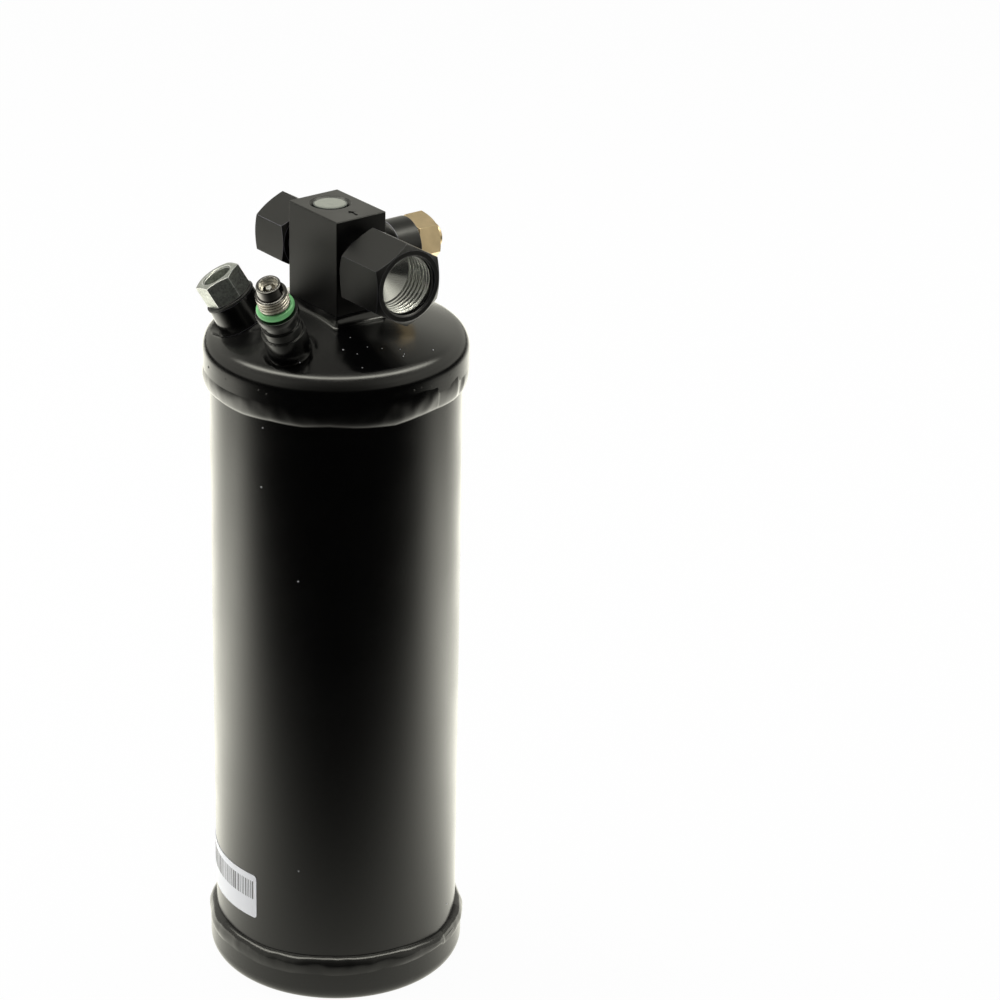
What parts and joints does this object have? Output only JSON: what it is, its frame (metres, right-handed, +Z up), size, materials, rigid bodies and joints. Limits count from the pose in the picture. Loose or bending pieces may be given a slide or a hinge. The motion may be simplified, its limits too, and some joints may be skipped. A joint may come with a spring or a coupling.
{
  "type": "filter drier",
  "caption": "Black welded filter drier can with a machined head block, hexagon line fittings, sight glass, tilted service port, moisture indicator and brass relief valve.",
  "frame": {"origin": "centre of the can's flat bottom face, where it stands", "axes": "+Z up the can's axis, +X towards the larger inlet fitting, -Y towards the service port and the moisture indicator, +Y towards the relief valve"},
  "size_m": [0.0814, 0.0814, 0.2493],
  "materials": {
    "black_paint": "semi-gloss",
    "brass": "machined",
    "zinc_steel": "zinc plated",
    "bare_steel": "machined",
    "spring_steel": "drawn wire",
    "clear_glass": "clear",
    "black_rubber": "matte",
    "green_rubber": "satin",
    "blue_paper": "matte",
    "white_paper": "satin",
    "felt": "felt",
    "desiccant": "beads"
  },
  "bodies": {
    "drier": {"body_tube": "black_paint", "top_cap": "black_paint", "bottom_cap": "black_paint", "top_weld_bead": "black_paint", "bottom_weld_bead": "black_paint", "head_block": "black_paint", "block_weld": "black_paint", "inlet_fitting": "black_paint", "outlet_fitting": "black_paint", "sight_glass": "clear_glass", "sight_glass_ring": "bare_steel", "sight_glass_seal": "black_rubber", "service_port_body": "black_paint", "port_o_ring": "green_rubber", "valve_core_body": "brass", "indicator_boss": "black_paint", "indicator_plug": "zinc_steel", "indicator_gasket": "black_rubber", "indicator_glass": "clear_glass", "indicator_disc": "blue_paper", "relief_adapter": "black_paint", "relief_valve_body": "brass", "relief_valve_plug": "brass", "pickup_tube": "bare_steel", "pickup_strainer": "brass", "lower_plate": "bare_steel", "lower_filter_pad": "felt", "desiccant_bed": "desiccant", "upper_filter_pad": "felt", "upper_plate": "bare_steel", "compression_spring": "spring_steel", "label": "white_paper"},
    "core_pin": {"valve_core_pin": "bare_steel", "valve_core_spring": "spring_steel"},
    "poppet": {"relief_poppet": "brass", "relief_seal": "black_rubber", "relief_spring": "spring_steel"}
  },
  "joints": [
    {"name": "valve_core_press", "type": "slide", "parent": "drier", "child": "core_pin", "axis": [-0.2139, 0.4179, -0.8829], "range_m": [0, 0.001], "stiffness_N_per_m": 2000, "springref_m": -0.0005},
    {"name": "relief_lift", "type": "slide", "parent": "drier", "child": "poppet", "axis": [0, 1, 0], "range_m": [0, 0.001], "stiffness_N_per_m": 20000, "springref_m": -0.001}
  ]
}
